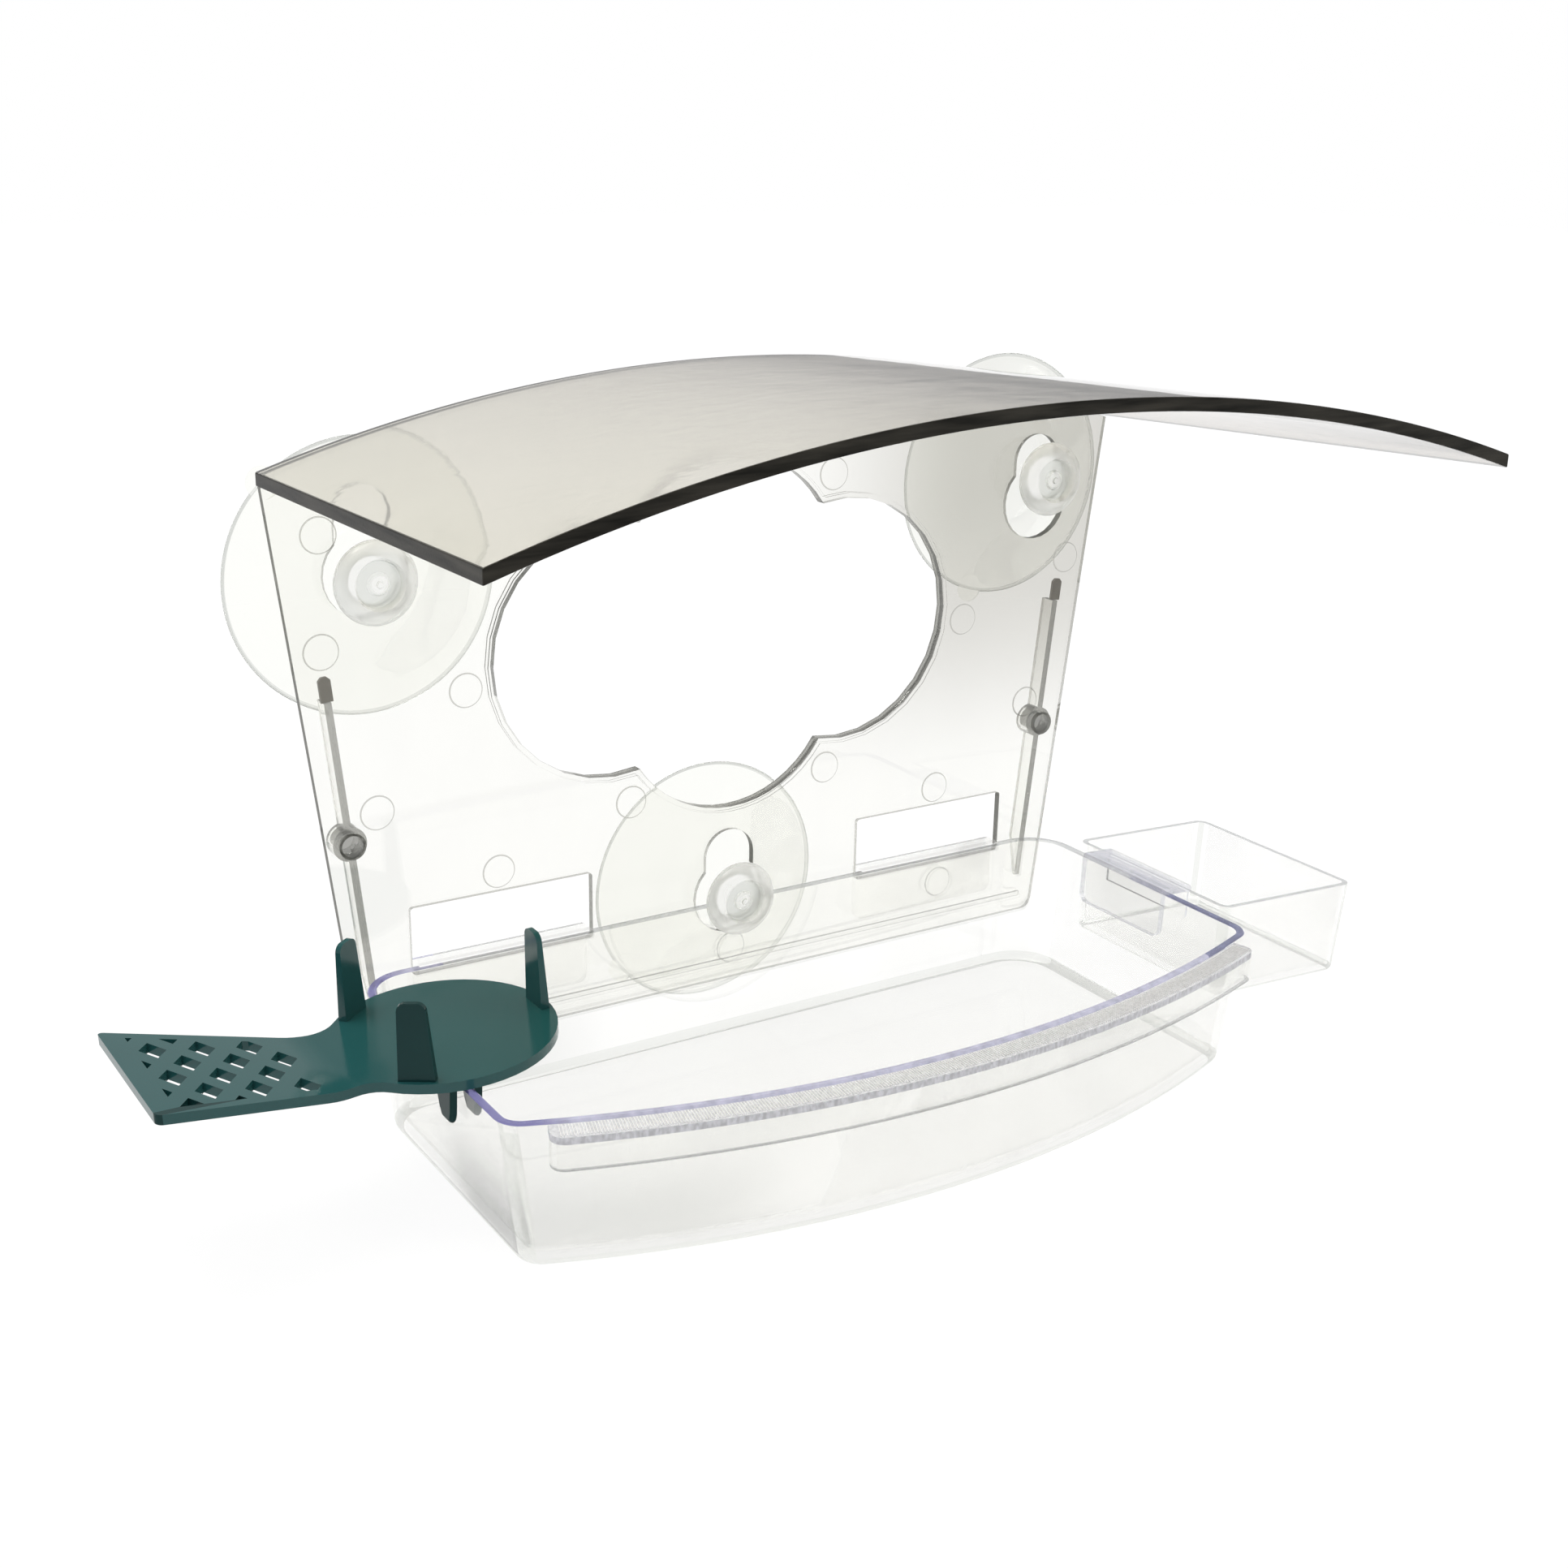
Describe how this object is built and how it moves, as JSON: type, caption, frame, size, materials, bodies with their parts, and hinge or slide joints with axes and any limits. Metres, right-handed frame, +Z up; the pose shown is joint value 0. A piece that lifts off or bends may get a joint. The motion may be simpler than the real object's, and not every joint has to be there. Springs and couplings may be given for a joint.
{
  "type": "window bird feeder",
  "caption": "Clear feeder that hangs on a window by suction cups, with an arched roof, a hooked-on seed tray, a small side cup and a fruit holder with a perch.",
  "frame": {"origin": "the point of the window glass on the lower suction cup's axis", "axes": "+Y square into the glass, +Z up, +X to the right seen from outside; the feeder stands on the -Y side of the glass"},
  "size_m": [0.3974, 0.1737, 0.223],
  "materials": {
    "clear_plastic": "glossy clear moulded plastic",
    "smoked_plastic": "glossy lightly smoked clear sheet",
    "green_plastic": "glossy dark green",
    "soft_clear": "soft clear vinyl, smooth",
    "grey_cap": "matt dark grey"
  },
  "bodies": {
    "frame": {"back_panel": "clear_plastic", "roof": "smoked_plastic", "rail_left": "clear_plastic", "rail_right": "clear_plastic", "rail_pin_left": "clear_plastic", "rail_pin_right": "clear_plastic", "rail_cap_left": "grey_cap", "rail_cap_right": "grey_cap"},
    "tray": {"seed_tray": "clear_plastic"},
    "side_feeder": {"side_cup": "clear_plastic"},
    "fruit_perch": {"fruit_holder": "green_plastic"},
    "cup_left": {"suction_cup_left": "soft_clear"},
    "cup_right": {"suction_cup_right": "soft_clear"},
    "cup_lower": {"suction_cup_lower": "soft_clear"}
  },
  "joints": [
    {"name": "tray_lift", "type": "slide", "parent": "frame", "child": "tray", "axis": [0, 0, 1], "range_m": [0, 0.007]},
    {"name": "side_cup_lift", "type": "slide", "parent": "tray", "child": "side_feeder", "axis": [0, 0, 1], "range_m": [0, 0.04]},
    {"name": "fruit_holder_lift", "type": "slide", "parent": "tray", "child": "fruit_perch", "axis": [0, 0, 1], "range_m": [0, 0.04]},
    {"name": "cup_left_slide", "type": "slide", "parent": "frame", "child": "cup_left", "axis": [0, 0, 1], "range_m": [-0.004, 0.0145]},
    {"name": "cup_right_slide", "type": "slide", "parent": "frame", "child": "cup_right", "axis": [0, 0, 1], "range_m": [-0.013, 0.006]},
    {"name": "cup_lower_slide", "type": "slide", "parent": "frame", "child": "cup_lower", "axis": [0, 0, 1], "range_m": [-0.006, 0.0125]}
  ]
}
